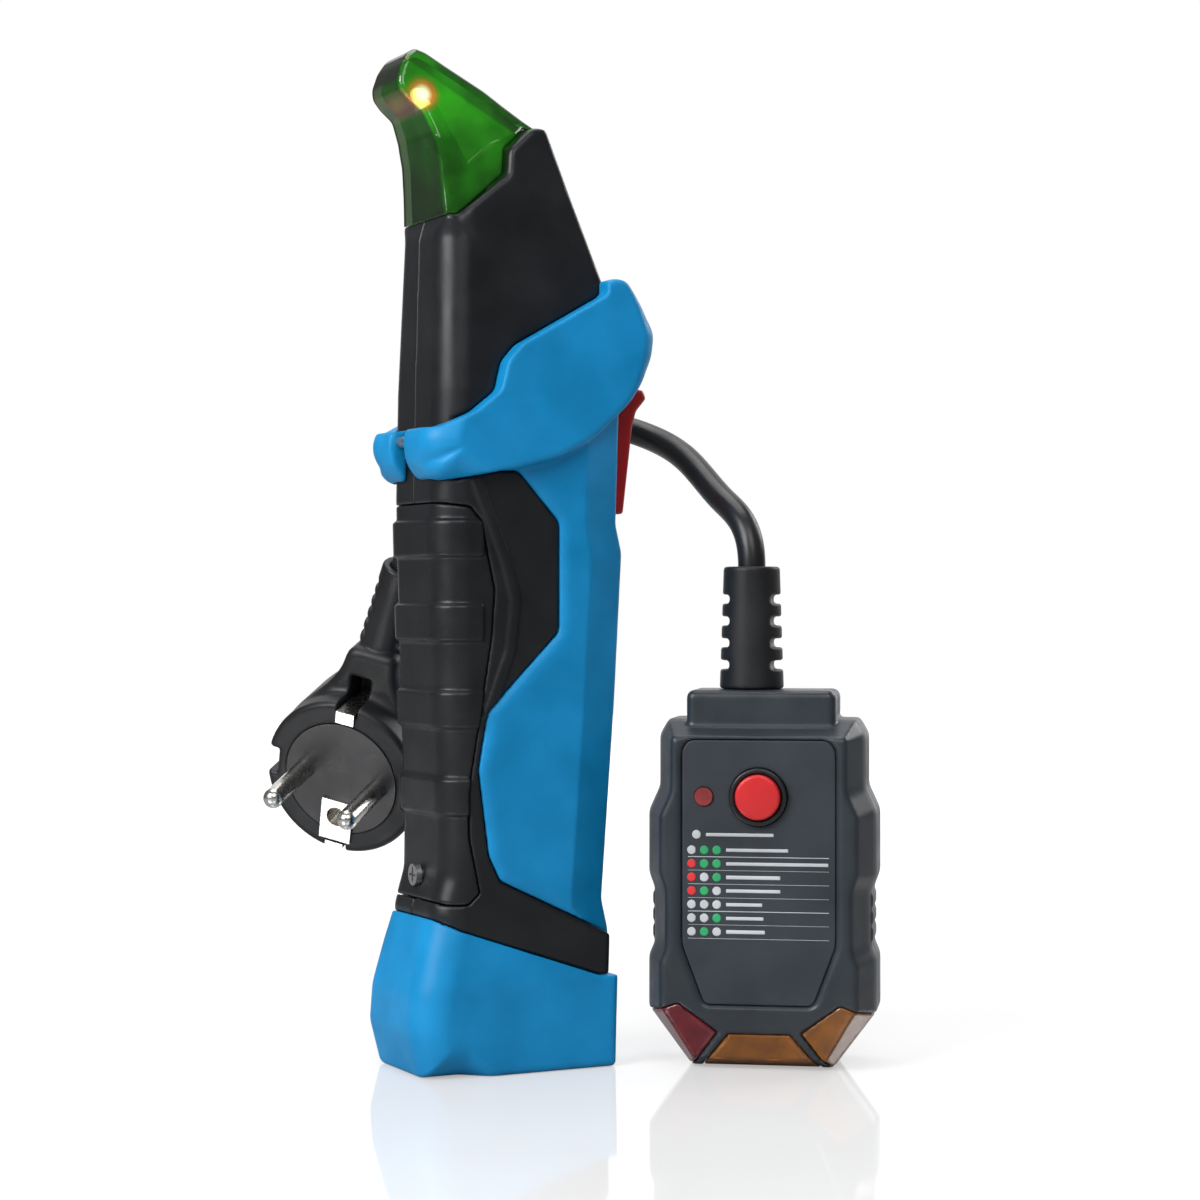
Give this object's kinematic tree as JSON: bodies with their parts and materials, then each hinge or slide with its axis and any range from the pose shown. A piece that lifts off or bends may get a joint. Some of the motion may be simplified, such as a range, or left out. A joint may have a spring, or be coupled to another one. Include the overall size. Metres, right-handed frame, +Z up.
{
  "type": "circuit breaker finder",
  "caption": "Circuit breaker finder: handheld receiver with glowing green tip, trigger and battery bay, and a plug-in transmitter on a mains lead.",
  "frame": {"origin": "centre of the receiver's base on the ground plane, below the handle's mid plane", "axes": "+Z up along the receiver's handle, +X towards the trigger side, -X towards the palm side and the tip's beak, -Y towards the side with the black side panel; the transmitter stands beside the receiver turned 36 degrees about Z"},
  "size_m": [0.1201, 0.13, 0.2251],
  "materials": {
    "case": "satin",
    "blue_shell": "satin",
    "clear_green": "gloss",
    "trigger_red": "satin",
    "button_red": "satin",
    "tx_grey": "satin",
    "legend": "satin",
    "window_red": "gloss",
    "window_amber": "gloss",
    "lamp_red": "gloss",
    "led_clear": "gloss",
    "steel": "satin",
    "nickel": "polished",
    "pcb": "satin",
    "chip": "matte",
    "passive": "matte",
    "battery_can": "satin",
    "ferrite": "matte",
    "copper": "satin",
    "rubber_black": "matte",
    "wire_red": "satin",
    "tray": "matte",
    "insert": "satin",
    "resistor": "satin"
  },
  "bodies": {
    "receiver": {"right_case_half": "case", "left_case_half": "case", "strap_bar": "steel", "right_blue_shell": "blue_shell", "left_blue_shell": "blue_shell", "foot_cap": "blue_shell", "clear_tip": "clear_green", "trigger_pin": "steel", "trigger_spring": "steel", "trigger_switch": "chip", "key_board": "pcb", "key_switch": "chip", "battery_tray": "tray", "main_board": "pcb", "board_chips": "chip", "board_passives": "passive", "buzzer": "chip", "tip_board": "pcb", "ferrite_rod": "ferrite", "sensor_coil": "copper", "tip_led": "led_clear", "tip_board_chips": "chip", "case_screws": "steel"},
    "trigger": {"trigger": "trigger_red"},
    "sensitivity_key": {"sensitivity_key": "rubber_black"},
    "battery_cover": {"battery_cover": "case", "battery_cover_screw": "steel"},
    "battery": {"battery": "battery_can", "battery_snap": "rubber_black", "battery_leads": "wire_red"},
    "transmitter": {"red_window": "window_red", "amber_side_window": "window_amber", "amber_bottom_window": "window_amber", "transmitter_front_cover": "tx_grey", "transmitter_rear_cover": "tx_grey", "transmitter_screws": "steel", "legend_plate": "legend", "button_bezel": "tx_grey", "button_spring": "steel", "transmitter_board": "pcb", "button_switch": "chip", "fault_lamp": "lamp_red", "window_leds": "led_clear", "test_load_resistors": "resistor", "pulse_transformer": "copper", "transmitter_chips": "chip", "mains_terminals": "nickel", "cord_clamp": "tray", "cord_clamp_screws": "steel", "cord_grip": "rubber_black", "power_cord": "rubber_black", "cord_cores": "wire_red", "plug_body": "rubber_black", "plug_pins": "nickel", "plug_insert": "insert", "plug_earth_socket": "nickel", "plug_earth_clips": "nickel"},
    "test_button": {"test_button": "button_red"}
  },
  "joints": [
    {"name": "trigger_hinge", "type": "hinge", "parent": "receiver", "child": "trigger", "pos_m": [0.0233, 0, 0.1272], "axis": [0, -1, 0], "range_deg": [0, 6], "deforming": ["trigger_spring"]},
    {"name": "key_press", "type": "slide", "parent": "receiver", "child": "sensitivity_key", "axis": [-0.9304, 0, -0.3665], "range_m": [0, 0.0005]},
    {"name": "cover_off", "type": "slide", "parent": "receiver", "child": "battery_cover", "axis": [-1, 0, 0], "range_m": [0, 0.06]},
    {"name": "battery_out", "type": "slide", "parent": "receiver", "child": "battery", "axis": [-1, 0, 0], "range_m": [0, 0.03]},
    {"name": "transmitter_apart", "type": "slide", "parent": "receiver", "child": "transmitter", "axis": [0.7071, 0.7071, 0], "range_m": [0, 0.25]},
    {"name": "test_press", "type": "slide", "parent": "transmitter", "child": "test_button", "axis": [0.5878, 0.809, 0], "range_m": [0, 0.0015], "deforming": ["button_spring"]}
  ],
  "couplings": [
    {"joint": "battery_out", "follows": "cover_off", "ratio": 0.5}
  ]
}
